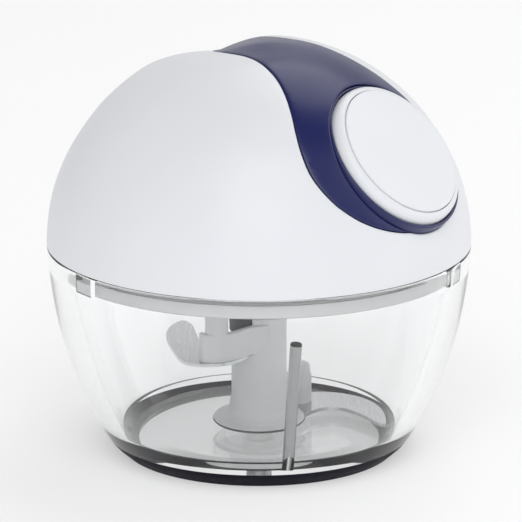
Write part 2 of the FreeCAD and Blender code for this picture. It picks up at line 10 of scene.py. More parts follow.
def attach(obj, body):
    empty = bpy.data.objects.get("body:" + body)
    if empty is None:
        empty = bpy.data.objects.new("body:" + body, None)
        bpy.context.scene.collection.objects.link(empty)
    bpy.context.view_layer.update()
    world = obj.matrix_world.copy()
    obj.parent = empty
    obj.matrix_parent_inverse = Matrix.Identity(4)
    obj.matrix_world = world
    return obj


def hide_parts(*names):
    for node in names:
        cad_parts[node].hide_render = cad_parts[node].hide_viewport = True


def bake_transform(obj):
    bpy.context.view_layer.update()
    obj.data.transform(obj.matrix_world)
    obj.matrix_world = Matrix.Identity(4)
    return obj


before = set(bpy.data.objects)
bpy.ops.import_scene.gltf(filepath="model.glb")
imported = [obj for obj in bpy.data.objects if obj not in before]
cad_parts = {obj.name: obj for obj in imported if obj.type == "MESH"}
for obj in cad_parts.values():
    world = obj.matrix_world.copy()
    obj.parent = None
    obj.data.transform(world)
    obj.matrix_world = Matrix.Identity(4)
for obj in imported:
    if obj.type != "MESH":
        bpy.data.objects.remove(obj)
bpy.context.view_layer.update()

MM = 0.001

# ------------------------------------------------------------------ measures
BALL_R, SEAM_Z, TOP_Z, DOME_WALL = 63.3, 63.6, 124.7, 2.4
RIM_Z, FLOOR_Z, UNDER_Z, LAND_R = 63.3, 6.6, 1.6, 56.5
RING_TOP_Z, RING_IN_R = 4.8, 36.7
HANDLE_C = np.array([41.8, -28.7, 99.3])
HANDLE_N = np.array([0.6226, -0.4294, 0.6543])
HANDLE_N = HANDLE_N / np.linalg.norm(HANDLE_N)
POCKET_R, CUP_R, COLLAR_U, POCKET_U, CUP_U = 23.5, 24.5, -3.3, -11.2, -13.2
LUG_ANGLES = (-147.4, -20.0, 96.0)
DOME_C = np.array([0.0, 0.0, SEAM_Z])

E1 = np.cross([0, 0, 1], HANDLE_N)
E1 = E1 / np.linalg.norm(E1)
E2 = np.cross(HANDLE_N, E1)
HANDLE_M = Matrix(((E1[0], E2[0], HANDLE_N[0], HANDLE_C[0] * MM),
                   (E1[1], E2[1], HANDLE_N[1], HANDLE_C[1] * MM),
                   (E1[2], E2[2], HANDLE_N[2], HANDLE_C[2] * MM),
                   (0, 0, 0, 1)))


# ------------------------------------------------------------------- helpers
def link(obj):
    bpy.context.scene.collection.objects.link(obj)
    return obj


def mesh_obj(name, verts, faces, sharp=32.0):
    """verts in millimetres."""
    me = bpy.data.meshes.new(name)
    me.from_pydata([(v[0] * MM, v[1] * MM, v[2] * MM) for v in verts], [], faces)
    me.validate()
    me.update()
    bm = bmesh.new()
    bm.from_mesh(me)
    bmesh.ops.recalc_face_normals(bm, faces=bm.faces)
    bm.to_mesh(me)
    bm.free()
    for p in me.polygons:
        p.use_smooth = True
    if sharp:
        me.set_sharp_from_angle(angle=math.radians(sharp))
    return link(bpy.data.objects.new(name, me))


def fillet(points, closed=False, n=5):
    """Rounds the corners of an (x, y) or (x, y, radius) polyline."""
    out = []
    count = len(points)
    for i, p in enumerate(points):
        rad = p[2] if len(p) > 2 else 0.0
        if rad <= 0 or (not closed and i in (0, count - 1)):
            out.append((p[0], p[1]))
            continue
        q = np.array(p[:2], float)
        a = np.array(points[(i - 1) % count][:2], float) - q
        b = np.array(points[(i + 1) % count][:2], float) - q
        la, lb = np.linalg.norm(a), np.linalg.norm(b)
        a, b = a / la, b / lb
        half = math.acos(max(-1.0, min(1.0, float(a @ b)))) / 2
        d = min(rad / math.tan(half), 0.48 * la, 0.48 * lb)
        r = d * math.tan(half)
        bis = (a + b) / np.linalg.norm(a + b)
        c = q + bis * (r / math.sin(half))
        p1, p2 = q + a * d, q + b * d
        a1 = math.atan2(*(p1 - c)[::-1])
        a2 = math.atan2(*(p2 - c)[::-1])
        while a2 - a1 > math.pi:
            a2 -= 2 * math.pi
        while a2 - a1 < -math.pi:
            a2 += 2 * math.pi
        for k in range(n + 1):
            t = a1 + (a2 - a1) * k / n
            out.append((c[0] + r * math.cos(t), c[1] + r * math.sin(t)))
    return out


def smooth_curve(pts, per=8, closed=False):
    """Centripetal-like Catmull-Rom through the points (any dimension)."""
    p = np.array(pts, float)
    n = len(p)
    out = []
    last = n if closed else n - 1
    for i in range(last):
        p0 = p[(i - 1) % n] if (closed or i > 0) else 2 * p[0] - p[1]
        p1, p2 = p[i], p[(i + 1) % n]
        p3 = p[(i + 2) % n] if (closed or i + 2 < n) else 2 * p[-1] - p[-2]
        d1 = max(np.linalg.norm(p2 - p1), 1e-9)
        d0 = max(np.linalg.norm(p1 - p0), 1e-9)
        d2 = max(np.linalg.norm(p3 - p2), 1e-9)
        m1 = (p2 - p0) / (d0 + d1) * d1
        m2 = (p3 - p1) / (d1 + d2) * d1
        for k in range(per):
            t = k / per
            h00 = 2 * t ** 3 - 3 * t ** 2 + 1
            h10 = t ** 3 - 2 * t ** 2 + t
            h01 = -2 * t ** 3 + 3 * t ** 2
            h11 = t ** 3 - t ** 2
            out.append(h00 * p1 + h10 * m1 + h01 * p2 + h11 * m2)
    if not closed:
        out.append(p[-1])
    return np.array(out)


def lathe(name, profile, seg=192, place=None, closed=False, sharp=32.0):
    """Turns an (r, z) profile about Z. Points with r under 1e-6 become poles."""
    verts, rows = [], []
    for r, z in profile:
        if abs(r) < 1e-6:
            rows.append([len(verts)] * seg)
            verts.append((0.0, 0.0, z))
        else:
            rows.append(list(range(len(verts), len(verts) + seg)))
            for k in range(seg):
                t = 2 * math.pi * k / seg
                verts.append((r * math.cos(t), r * math.sin(t), z))
    pairs = list(zip(rows[:-1], rows[1:]))
    if closed:
        pairs.append((rows[-1], rows[0]))
    faces = []
    for a, b in pairs:
        for k in range(seg):
            j = (k + 1) % seg
            quad = [a[k], a[j], b[j], b[k]]
            f = []
            for v in quad:
                if v not in f:
                    f.append(v)
            if len(f) > 2:
                faces.append(f)
    obj = mesh_obj(name, verts, faces, sharp)
    if place is not None:
        obj.data.transform(place)
    return obj


def baked(obj, sharp=32.0):
    """Applies the object's modifiers to its mesh."""
    dg = bpy.context.evaluated_depsgraph_get()
    me = bpy.data.meshes.new_from_object(obj.evaluated_get(dg))
    obj.modifiers.clear()
    obj.data = me
    for p in me.polygons:
        p.use_smooth = True
    if sharp:
        me.set_sharp_from_angle(angle=math.radians(sharp))
    return obj


# ----------------------------------------------------------------- materials
def material(name, base, rough=0.4, **sockets):
    mat = bpy.data.materials.new(name)
    mat.use_nodes = True
    nt = mat.node_tree
    bsdf = nt.nodes["Principled BSDF"]
    bsdf.inputs["Base Color"].default_value = (*base, 1)
    bsdf.inputs["Roughness"].default_value = rough
    for key, value in sockets.items():
        bsdf.inputs[key.replace("_", " ")].default_value = value
    return mat, nt, bsdf


def coords(nt, scale=(1, 1, 1)):
    tc = nt.nodes.new("ShaderNodeTexCoord")
    mp = nt.nodes.new("ShaderNodeMapping")
    mp.inputs["Scale"].default_value = scale
    nt.links.new(tc.outputs["Object"], mp.inputs["Vector"])
    return mp.outputs["Vector"]


def noise(nt, vec, scale, detail=4.0, rough=0.5):
    n = nt.nodes.new("ShaderNodeTexNoise")
    n.inputs["Scale"].default_value = scale
    n.inputs["Detail"].default_value = detail
    n.inputs["Roughness"].default_value = rough
    nt.links.new(vec, n.inputs["Vector"])
    return n.outputs["Fac"]


def ramp(nt, fac, stops):
    r = nt.nodes.new("ShaderNodeValToRGB")
    el = r.color_ramp.elements
    while len(el) > 1:
        el.remove(el[-1])
    el[0].position, el[0].color = stops[0][0], (*stops[0][1], 1)
    for pos, col in stops[1:]:
        e = el.new(pos)
        e.color = (*col, 1)
    nt.links.new(fac, r.inputs["Fac"])
    return r.outputs["Color"]


def span(nt, fac, lo, hi, a=0.3, b=0.7):
    m = nt.nodes.new("ShaderNodeMapRange")
    m.inputs["From Min"].default_value = a
    m.inputs["From Max"].default_value = b
    m.inputs["To Min"].default_value = lo
    m.inputs["To Max"].default_value = hi
    nt.links.new(fac, m.inputs["Value"])
    return m.outputs["Result"]


def bump(nt, bsdf, height, strength, distance, chain=None):
    b = nt.nodes.new("ShaderNodeBump")
    b.inputs["Strength"].default_value = strength
    b.inputs["Distance"].default_value = distance
    nt.links.new(height, b.inputs["Height"])
    if chain is not None:
        nt.links.new(chain, b.inputs["Normal"])
    nt.links.new(b.outputs["Normal"], bsdf.inputs["Normal"])
    return b.outputs["Normal"]


def moulded(name, base, dark, rough=(0.26, 0.36), grain=0.05, spread=0.5, **sockets):
    """Moulded plastic: soft tone drift, uneven sheen and a fine mould grain."""
    mat, nt, bsdf = material(name, base, sum(rough) / 2, **sockets)
    v = coords(nt)
    drift = noise(nt, v, 28.0, 3.0, 0.5)
    nt.links.new(ramp(nt, drift, [(0.5 - spread / 2, dark), (0.5 + spread / 2, base)]),
                 bsdf.inputs["Base Color"])
    handled = noise(nt, v, 95.0, 6.0, 0.6)
    nt.links.new(span(nt, handled, rough[0], rough[1]), bsdf.inputs["Roughness"])
    first = bump(nt, bsdf, noise(nt, v, 2600.0, 3.0, 0.6), grain, 0.00008)
    bump(nt, bsdf, noise(nt, v, 60.0, 2.0, 0.5), 0.06, 0.0004, first)
    return mat


MAT = {}
MAT["white"] = moulded("white_shell", (0.74, 0.755, 0.785), (0.72, 0.735, 0.765), (0.30, 0.40),
                       0.05, Specular_IOR_Level=0.45)
MAT["navy"] = moulded("navy_panel", (0.0085, 0.0125, 0.090), (0.007, 0.0105, 0.080), (0.25, 0.34),
                      0.06, Specular_IOR_Level=0.5)
MAT["frost"] = moulded("frosted_plate", (0.94, 0.94, 0.942), (0.92, 0.922, 0.925), (0.45, 0.6), 0.12)
MAT["column"] = moulded("column_plastic", (0.81, 0.815, 0.82), (0.78, 0.785, 0.795),
                        (0.35, 0.48), 0.08)
MAT["column_foot"] = moulded("column_foot", (0.83, 0.835, 0.84), (0.80, 0.805, 0.815),
                             (0.35, 0.48), 0.08)


def painted_foot_shadow(mat, radius, height, shade):
    """A painted shadow line low on the round foot's edge (metres from the axis and the ground)."""
    nt = mat.node_tree
    bsdf = nt.nodes["Principled BSDF"]
    plastic = bsdf.inputs["Base Color"].links[0].from_socket
    sep = nt.nodes.new("ShaderNodeSeparateXYZ")
    nt.links.new(coords(nt), sep.inputs["Vector"])
    flat = nt.nodes.new("ShaderNodeCombineXYZ")
    nt.links.new(sep.outputs["X"], flat.inputs["X"])
    nt.links.new(sep.outputs["Y"], flat.inputs["Y"])
    length = nt.nodes.new("ShaderNodeVectorMath")
    length.operation = "LENGTH"
    nt.links.new(flat.outputs["Vector"], length.inputs[0])
    low = span(nt, sep.outputs["Z"], 1.0, 0.0, height - 0.0002, height)
    out = span(nt, length.outputs["Value"], 0.0, 1.0, radius - 0.0003, radius)
    foot_shadow_mask = nt.nodes.new("ShaderNodeMath")
    foot_shadow_mask.operation = "MULTIPLY"
    nt.links.new(low, foot_shadow_mask.inputs[0])
    nt.links.new(out, foot_shadow_mask.inputs[1])
    # mixes the painted shadow colour into the plastic under the foot's lower outer edge
    mix = nt.nodes.new("ShaderNodeMix")
    mix.data_type = "RGBA"
    nt.links.new(foot_shadow_mask.outputs["Value"], mix.inputs["Factor"])
    nt.links.new(plastic, mix.inputs["A"])
    mix.inputs["B"].default_value = (*shade, 1)
    nt.links.new(mix.outputs["Result"], bsdf.inputs["Base Color"])


# paints a dark shadow line round the lower edge of the blade column's foot flange
painted_foot_shadow(MAT["column_foot"], 0.0130, 0.0101, (0.02, 0.02, 0.025))
MAT["socket"] = moulded("dark_coupling", (0.035, 0.035, 0.04), (0.025, 0.025, 0.03),
                        (0.45, 0.6), 0.12)
MAT["acetal"] = moulded("acetal", (0.72, 0.71, 0.66), (0.68, 0.67, 0.62), (0.4, 0.55), 0.08)


def rubber(name, base, dark, rough=(0.5, 0.68), level=0.35):
    mat, nt, bsdf = material(name, base, 0.6, Specular_IOR_Level=level)
    v = coords(nt)
    nt.links.new(ramp(nt, noise(nt, v, 60.0, 4.0), [(0.3, dark), (0.7, base)]),
                 bsdf.inputs["Base Color"])
    nt.links.new(span(nt, noise(nt, v, 240.0, 5.0, 0.7), *rough), bsdf.inputs["Roughness"])
    first = bump(nt, bsdf, noise(nt, v, 3200.0, 2.0, 0.6), 0.25, 0.00006)
    bump(nt, bsdf, noise(nt, v, 500.0, 3.0, 0.6), 0.12, 0.0001, first)
    return mat


MAT["ring"] = rubber("navy_rubber", (0.0045, 0.0045, 0.013), (0.003, 0.003, 0.009), (0.45, 0.62), 0.08)
MAT["tip"] = rubber("black_rubber", (0.018, 0.018, 0.019), (0.010, 0.010, 0.011))
MAT["silicone"] = rubber("grey_silicone", (0.58, 0.59, 0.60), (0.52, 0.53, 0.54), (0.4, 0.55))


def metal(name, base, dark, rough, stretch=(1, 1, 1), grain=0.12, fine=900.0, aniso=0.0):
    mat, nt, bsdf = material(name, base, sum(rough) / 2, Metallic=1.0, Anisotropic=aniso)
    v = coords(nt, stretch)
    lines = noise(nt, v, fine, 6.0, 0.65)
    nt.links.new(ramp(nt, lines, [(0.3, dark), (0.7, base)]), bsdf.inputs["Base Color"])
    nt.links.new(span(nt, lines, rough[0], rough[1]), bsdf.inputs["Roughness"])
    bump(nt, bsdf, lines, grain, 0.00004)
    return mat


MAT["blade"] = metal("ground_steel", (0.66, 0.67, 0.68), (0.54, 0.55, 0.57), (0.16, 0.30),
                     (1.0, 0.06, 1.0), 0.10, 1400.0)
MAT["rod"] = metal("polished_bar", (0.40, 0.40, 0.405), (0.31, 0.31, 0.315), (0.08, 0.18),
                   (1.0, 1.0, 0.05), 0.06, 2200.0)
MAT["bright_pin"] = metal("bright_pin", (0.90, 0.90, 0.90), (0.85, 0.85, 0.85), (0.30, 0.42))
MAT["plate_steel"] = metal("pressed_steel", (0.56, 0.57, 0.58), (0.46, 0.47, 0.48),
                           (0.22, 0.36), (0.08, 1.0, 1.0), 0.10, 900.0)
MAT["spring"] = metal("blued_spring", (0.19, 0.21, 0.27), (0.12, 0.13, 0.18), (0.22, 0.36),
                      (1.0, 1.0, 0.08), 0.10, 900.0)
MAT["bronze"] = metal("sintered_bronze", (0.46, 0.31, 0.17), (0.34, 0.22, 0.12), (0.34, 0.52),
                      (1, 1, 1), 0.2, 2400.0)


def clear(name):
    """Thick clear plastic with faint waviness and handling haze."""
    mat, nt, bsdf = material(name, (0.98, 0.988, 0.99), 0.01, IOR=1.45)
    bsdf.inputs["Transmission Weight"].default_value = 1.0
    v = coords(nt)
    haze = noise(nt, v, 70.0, 6.0, 0.65)
    nt.links.new(span(nt, haze, 0.0, 0.02, 0.42, 0.75), bsdf.inputs["Roughness"])
    nt.links.new(ramp(nt, noise(nt, v, 22.0, 2.0), [(0.3, (0.972, 0.982, 0.985)),
                                                  (0.7, (0.984, 0.990, 0.992))]),
                 bsdf.inputs["Base Color"])
    bump(nt, bsdf, noise(nt, v, 14.0, 1.0, 0.4), 0.002, 0.0002)
    return mat


MAT["clear"] = clear("clear_bowl")


def woven(name):
    """Braided cord: crossing strands wound round the cord."""
    mat, nt, bsdf = material(name, (0.68, 0.68, 0.66), 0.75, Sheen_Weight=0.3)
    v = coords(nt)
    w = nt.nodes.new("ShaderNodeTexWave")
    w.inputs["Scale"].default_value = 420.0
    w.inputs["Distortion"].default_value = 1.5
    w.bands_direction = "DIAGONAL"
    nt.links.new(v, w.inputs["Vector"])
    nt.links.new(ramp(nt, w.outputs["Fac"], [(0.2, (0.46, 0.46, 0.45)), (0.8, (0.74, 0.74, 0.72))]),
                 bsdf.inputs["Base Color"])
    bump(nt, bsdf, w.outputs["Fac"], 0.5, 0.0002)
    return mat


MAT["cord"] = woven("braided_cord")


def dress(obj, key):
    obj.data.materials.clear()
    obj.data.materials.append(MAT[key])
    return obj


# ---------------------------------------------------------------- dome shape
DOME_PROFILE = [(BALL_R, SEAM_Z), (63.05, 68.5), (62.2, 75.0), (60.4, 82.0),
                (57.0, 90.0), (52.15, 98.0), (46.65, 105.0), (39.0, 112.0),
                (31.4, 117.0), (22.8, 121.0), (14.2, 123.4), (0.0, TOP_Z)]
mirror = [(-r, z) for r, z in DOME_PROFILE[:-1]][::-1]
below = [(62.9, 58.6)]
prof = smooth_curve(below + DOME_PROFILE + mirror[:3], 24)
prof = np.array([p for p in prof if p[0] >= 0 and p[1] >= SEAM_Z - 1e-6])
theta = np.arctan2(prof[:, 0], prof[:, 1] - SEAM_Z)
radius = np.hypot(prof[:, 0], prof[:, 1] - SEAM_Z)
order = np.argsort(theta)
theta, radius = theta[order], radius[order]


def dome_radius(t):
    return np.interp(t, theta, radius)


K = 62.0     # millimetres per radian in the flat map of the dome


def to_map(p):
    """3D points to the flat map: distance from the crown, direction kept."""
    d = np.asarray(p, float) - DOME_C
    rho = np.hypot(d[..., 0], d[..., 1])
    t = np.arctan2(rho, d[..., 2])
    f = np.where(rho > 1e-9, t * K / np.maximum(rho, 1e-9), 0)
    return np.stack([d[..., 0] * f, d[..., 1] * f], -1)


def from_map(m, drop=0.0):
    m = np.asarray(m, float)
    q = np.hypot(m[..., 0], m[..., 1])
    t = np.minimum(q / K, math.pi / 2)
    r = dome_radius(t) - drop
    c = np.where(q > 1e-9, m[..., 0] / np.maximum(q, 1e-9), 1.0)
    s = np.where(q > 1e-9, m[..., 1] / np.maximum(q, 1e-9), 0.0)
    return np.stack([r * np.sin(t) * c, r * np.sin(t) * s, SEAM_Z + r * np.cos(t)], -1)


PANEL_LOOP = [
    (-8.8, -4.6, 123.8), (-3.3, -11.2, 123.6), (1.6, -18.7, 121.9),
    (5.1, -24.7, 119.5), (7.6, -30.7, 116.4), (9.6, -37.5, 111.9),
    (10.9, -42.7, 107.3), (12.5, -46.9, 102.8), (15.1, -50.4, 97.6),
    (19.0, -52.3, 92.7), (23.7, -52.8, 88.2), (30.1, -51.6, 83.8),
    (36.9, -48.4, 80.5), (43.4, -43.4, 78.4), (49.7, -36.6, 77.7),
    (54.7, -28.6, 78.6), (57.8, -20.4, 81.6), (57.9, -13.2, 86.5),
    (55.4, -7.4, 92.6), (50.9, -3.8, 99.4), (46.6, -2.2, 104.4),
    (42.0, -1.4, 109.1), (37.6, -0.8, 112.6), (32.4, 0.5, 116.0),
    (26.6, 2.4, 118.9), (20.1, 4.8, 121.3), (14.2, 7.1, 122.7),
    (9.2, 8.6, 123.4), (5.2, 10.6, 123.5), (2.2, 14.2, 123.2),
    (0.6, 19.2, 121.9), (-0.6, 25.0, 119.9), (-2.0, 31.0, 117.1),
    (-4.0, 37.0, 113.4), (-7.2, 42.0, 109.2), (-10.4, 42.4, 108.4),
    (-12.4, 37.6, 112.0), (-13.4, 31.0, 116.2), (-14.0, 23.6, 119.4),
    (-14.2, 16.0, 121.9), (-13.9, 8.6, 123.1), (-12.4, 1.4, 123.9)]


def axis_polar(p):
    """Distance from the pull axis and height along it, for 3D points."""
    d = np.asarray(p, float) - HANDLE_C
    u = d @ HANDLE_N
    return np.linalg.norm(d - u[..., None] * HANDLE_N, axis=-1), u


def push_out(m, limit):
    """Moves map points that lie nearer the pull axis than limit out to it."""
    m = m.copy()
    for _ in range(12):
        p = from_map(m)
        r, u = axis_polar(p)
        bad = r < limit
        if not bad.any():
            break
        foot = HANDLE_C + u[:, None] * HANDLE_N
        away = (p - foot) / np.maximum(r, 1e-6)[:, None]
        target = p + away * (limit - r)[:, None] * 1.02
        m[bad] = to_map(target[bad])
    return m


def even(loop, step):
    """Resamples a closed 2D loop evenly."""
    q = np.vstack([loop, loop[:1]])
    s = np.concatenate([[0], np.cumsum(np.linalg.norm(np.diff(q, axis=0), axis=1))])
    n = int(s[-1] / step)
    t = np.linspace(0, s[-1], n, endpoint=False)
    return np.stack([np.interp(t, s, q[:, 0]), np.interp(t, s, q[:, 1])], -1)


def inside(loop, pts):
    x, y = pts[:, 0], pts[:, 1]
    res = np.zeros(len(pts), bool)
    a = loop
    b = np.roll(loop, -1, axis=0)
    for (x0, y0), (x1, y1) in zip(a, b):
        cross = (y0 > y) != (y1 > y)
        with np.errstate(divide="ignore", invalid="ignore"):
            xi = x0 + (y - y0) * (x1 - x0) / (y1 - y0 if y1 != y0 else 1e-12)
        res ^= cross & (x < xi)
    return res


def distance(loop, pts):
    """3D distance from map points to a map loop, both lifted to the dome."""
    a = from_map(loop)
    b = np.roll(a, -1, axis=0)
    p = from_map(pts)
    best = np.full(len(p), 1e9)
    ab = b - a
    l2 = (ab ** 2).sum(1)
    for k in range(0, len(p), 2000):
        q = p[k:k + 2000]
        t = ((q[:, None, :] - a[None]) * ab[None]).sum(2) / l2[None]
        t = np.clip(t, 0, 1)
        d = np.linalg.norm(q[:, None, :] - (a[None] + t[..., None] * ab[None]), axis=2)
        best[k:k + 2000] = d.min(1)
    return best


loop2d = smooth_curve(to_map(np.array(PANEL_LOOP)), 14, closed=True)
loop2d = even(push_out(loop2d, CUP_R + 0.1), 0.55)
ang = np.linspace(0, 2 * math.pi, 300, endpoint=False)
circle = []
for t in ang:
    d = E1 * math.cos(t) + E2 * math.sin(t)
    lo_u, hi_u = -30.0, 12.0
    for _ in range(50):
        mid_u = (lo_u + hi_u) / 2
        p = HANDLE_C + HANDLE_N * mid_u + d * CUP_R
        v = p - DOME_C
        tt = math.atan2(math.hypot(v[0], v[1]), v[2])
        if np.linalg.norm(v) < dome_radius(min(tt, math.pi / 2)):
            lo_u = mid_u
        else:
            hi_u = mid_u
    circle.append(HANDLE_C + HANDLE_N * lo_u + d * CUP_R)
circle2d = to_map(np.array(circle))

rim_n = 420
rim2d = np.array([[K * math.pi / 2 * math.cos(2 * math.pi * i / rim_n),
                   K * math.pi / 2 * math.sin(2 * math.pi * i / rim_n)] for i in range(rim_n)])

grid = [(0.0, 0.0)]
step = 1.5
rho = step
while rho < K * math.pi / 2 - 0.6 * step:
    n = max(6, int(2 * math.pi * K * math.sin(rho / K) / step))
    off = 0.5 * (int(rho / step) % 2)
    for i in range(n):
        t = 2 * math.pi * (i + off) / n
        grid.append((rho * math.cos(t), rho * math.sin(t)))
    rho += step
grid = np.array(grid)
near = np.minimum(distance(loop2d, grid), distance(circle2d, grid))
grid = grid[near > 1.25]


def offsets(loop, dist, keep=0.9):
    t = np.roll(loop, -1, axis=0) - np.roll(loop, 1, axis=0)
    t /= np.linalg.norm(t, axis=1)[:, None]
    nrm = np.stack([t[:, 1], -t[:, 0]], -1)
    pts = loop + nrm * dist
    d = distance(loop, pts)
    return pts[d > abs(dist) * keep * 0.9]


extra = []
for d in (0.18, 0.42, 0.8):
    for sgn in (-1, 1):
        for lp in (loop2d, circle2d):
            extra.append(offsets(lp, sgn * d))
extra = np.vstack(extra)
r_, _u = axis_polar(from_map(extra))
dl, dc = distance(loop2d, extra), distance(circle2d, extra)
extra = extra[np.minimum(dl, dc) > 0.14]

coords2d = np.vstack([loop2d, circle2d, rim2d, grid, extra])
nl, nc, nr = len(loop2d), len(circle2d), len(rim2d)
edges = [(i, (i + 1) % nl) for i in range(nl)]
edges += [(nl + i, nl + (i + 1) % nc) for i in range(nc)]
edges += [(nl + nc + i, nl + nc + (i + 1) % nr) for i in range(nr)]
tri = delaunay_2d_cdt([Vector(p) for p in coords2d.tolist()], edges, [], 0, 1e-6)
tv = np.array([tuple(v) for v in tri[0]])
tf = np.array([f for f in tri[2] if len(f) == 3])
mid = tv[tf].mean(axis=1)
in_loop = inside(loop2d, mid)
in_cup = inside(circle2d, mid)
in_rim = np.hypot(mid[:, 0], mid[:, 1]) < K * math.pi / 2 - 1e-3

to_loop = distance(loop2d, tv)
to_cup = distance(circle2d, tv)
side_in = inside(loop2d, tv)


RIDGE = np.array([(7.6, -30.7), (5.1, -24.7), (1.6, -18.7), (-3.3, -11.2), (-8.8, -4.6),
                  (-11.0, -1.0), (-11.8, 3.0), (-12.0, 10.0), (-12.0, 20.0), (-11.6, 30.0),
                  (-10.5, 38.0), (-8.6, 45.0), (-5.0, 55.0)])


def fold(p):
    """Height the crown loses on the left of the panel's raised edge."""
    x, y, z = p[:, 0], p[:, 1], p[:, 2]
    edge = np.interp(y, RIDGE[:, 1], RIDGE[:, 0])
    slope = (np.interp(y + 1.0, RIDGE[:, 1], RIDGE[:, 0])
             - np.interp(y - 1.0, RIDGE[:, 1], RIDGE[:, 0])) / 2
    s_ = (x - edge) / np.sqrt(1 + slope ** 2)
    share = (1 - np.clip(s_ / 26.0, 0, 1)) ** 3
    plane = 123.3 - 0.2886 * y - 0.03 * (x + 18.0)
    h = np.clip(0.5 + 0.5 * (plane - z) / 7.0, 0, 1)
    low = plane * (1 - h) + z * h - 7.0 * h * (1 - h)
    return (z - low) * share


def edge_round(d, r):
    e = np.clip(r - d, 0, r)
    return r - np.sqrt(np.maximum(r * r - e * e, 0))


drop_white = edge_round(to_loop, 0.8) * 0.9
drop_blue = edge_round(to_loop, 0.7) * 0.9 + edge_round(to_cup, 0.5) * 0.8


def sheet_part(name, faces, drop, gap, inward):
    used = np.unique(faces)
    remap = -np.ones(len(tv), int)
    remap[used] = np.arange(len(used))
    m = tv[used].copy()
    # a hairline gap between the two mouldings
    close = to_loop[used] < 1e-3
    if close.any():
        t = np.roll(loop2d, -1, axis=0) - np.roll(loop2d, 1, axis=0)
        t /= np.linalg.norm(t, axis=1)[:, None]
        nrm = np.stack([t[:, 1], -t[:, 0]], -1)
        for i in np.where(close)[0]:
            k = np.argmin(((loop2d - m[i]) ** 2).sum(1))
            m[i] += nrm[k] * gap * inward
    p = from_map(m, drop[used])
    p[:, 2] -= fold(from_map(m))
    obj = mesh_obj(name, p.tolist(), remap[faces].tolist(), sharp=None)
    me = obj.data
    # all faces point outwards
    bm = bmesh.new()
    bm.from_mesh(me)
    for f in bm.faces:
        c = f.calc_center_median() - Vector(DOME_C * MM)
        if f.normal.dot(c) < 0:
            f.normal_flip()
    bm.to_mesh(me)
    bm.free()
    s = obj.modifiers.new("wall", "SOLIDIFY")
    s.thickness = (DOME_WALL - 0.2) * MM
    s.offset = -1
    s.use_even_offset = True
    s.use_rim = True
    return baked(obj, 40.0)


# the loop runs anticlockwise or clockwise; the sign sets which way is outwards
area = 0.5 * np.sum(loop2d[:, 0] * np.roll(loop2d[:, 1], -1)
                    - np.roll(loop2d[:, 0], -1) * loop2d[:, 1])
OUT = 1.0 if area > 0 else -1.0
white_faces = tf[in_rim & ~in_loop & ~in_cup]
blue_faces = tf[in_loop & ~in_cup]
dome_white = sheet_part("dome_shell_vis", white_faces, drop_white, 0.13, OUT)
dome_blue = sheet_part("dome_panel_vis", blue_faces, drop_blue, 0.13, -OUT)
dress(dome_white, "white")
dress(dome_blue, "navy")
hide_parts("dome_shell")
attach(dome_white, "lid")

cup_prof = fillet([(3.25, CUP_U, 0.3), (CUP_R - 0.06, CUP_U, 1.2), (CUP_R - 0.06, COLLAR_U, 0.45),
                   (POCKET_R, COLLAR_U, 0.35), (POCKET_R, POCKET_U, 1.0),
                   (3.25, POCKET_U, 0.3)], closed=True)
cup = lathe("handle_pocket", cup_prof, 220, HANDLE_M, closed=True)
dress(cup, "navy")
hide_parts("dome_panel")
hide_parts("dome_panel")
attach(dome_blue, "lid")
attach(cup, "lid")

# -------------------------------------------------------------------- handle
side_pts = smooth_curve([(21.8, -10.0), (22.75, -9.2), (23.15, -7.6), (23.2, -5.4),
                         (23.18, -3.6), (22.95, -2.2), (22.5, -1.3), (21.8, -0.75),
                         (20.95, -0.55)], 6)
body_prof = [tuple(p) for p in side_pts[:-1]] + fillet(
    [(21.2, -0.58), (20.93, -0.55, 0.14), (20.93, -2.6), (18.8, -2.6, 0.2), (18.8, -8.2, 0.8),
     (4.6, -8.2, 0.5), (4.6, -3.6, 0.2), (2.55, -3.6, 0.2), (2.55, -8.4), (1.4, -8.4),
     (1.4, -9.2), (5.6, -9.2, 0.2), (5.6, -10.0, 0.3), (21.6, -10.0)])
handle = lathe("handle_body_vis", body_prof, 220, HANDLE_M, closed=True)
dress(handle, "white")
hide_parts("handle_body")
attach(handle, "handle")

cap_prof = [(0.0, 0.4)] + [tuple(p) for p in smooth_curve(
    [(3.0, 0.39), (7.0, 0.36), (12.0, 0.27), (16.5, 0.14), (19.6, 0.02)], 4)] + fillet(
    [(19.9, 0.0), (20.72, -0.06, 0.35), (20.72, -2.55, 0.2), (19.0, -2.55)]) + [(0.0, -2.55)]
cap = lathe("handle_cap_vis", cap_prof, 220, HANDLE_M)
dress(cap, "white")
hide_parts("handle_cap")
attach(cap, "handle")

# ---------------------------------------------------------------------- bowl
def outer_r(z):
    return 42.5332 + 0.690268 * z - 0.0072116 * z ** 2 + 2.3542e-5 * z ** 3


def inner_r(z):
    return 36.4926 + 0.617259 * z - 0.00508284 * z ** 2 + 7.834e-6 * z ** 3


STEP = [(38.6, FLOOR_Z, 0.5), (40.6, 9.2, 0.5), (41.55, 9.2, 0.7)]
outer = [(outer_r(z), z) for z in np.linspace(RING_TOP_Z, RIM_Z - 0.6, 90)]
inner = [(inner_r(z), z) for z in np.linspace(10.6, 55.8, 80)]
step_line = fillet([(30.0, FLOOR_Z)] + STEP + [(inner_r(10.6), 10.6)])[:-1]
bowl_prof = [(0.0, UNDER_Z)] + fillet(
    [(20.0, UNDER_Z), (RING_IN_R, UNDER_Z, 0.4), (RING_IN_R, RING_TOP_Z, 0.3),
     (45.0, RING_TOP_Z)]) + outer + fillet(
    [(BALL_R - 0.06, RIM_Z - 0.5), (BALL_R - 0.25, RIM_Z, 0.45), (LAND_R + 0.2, RIM_Z, 0.45),
     (LAND_R, RIM_Z - 0.7)]) + [(LAND_R, 60.0), (LAND_R, 57.0)] + \
    inner[::-1] + step_line[::-1] + [(15.0, FLOOR_Z), (0.0, FLOOR_Z)]
bowl = lathe("bowl_shell_vis", bowl_prof, 288, None, sharp=40.0)
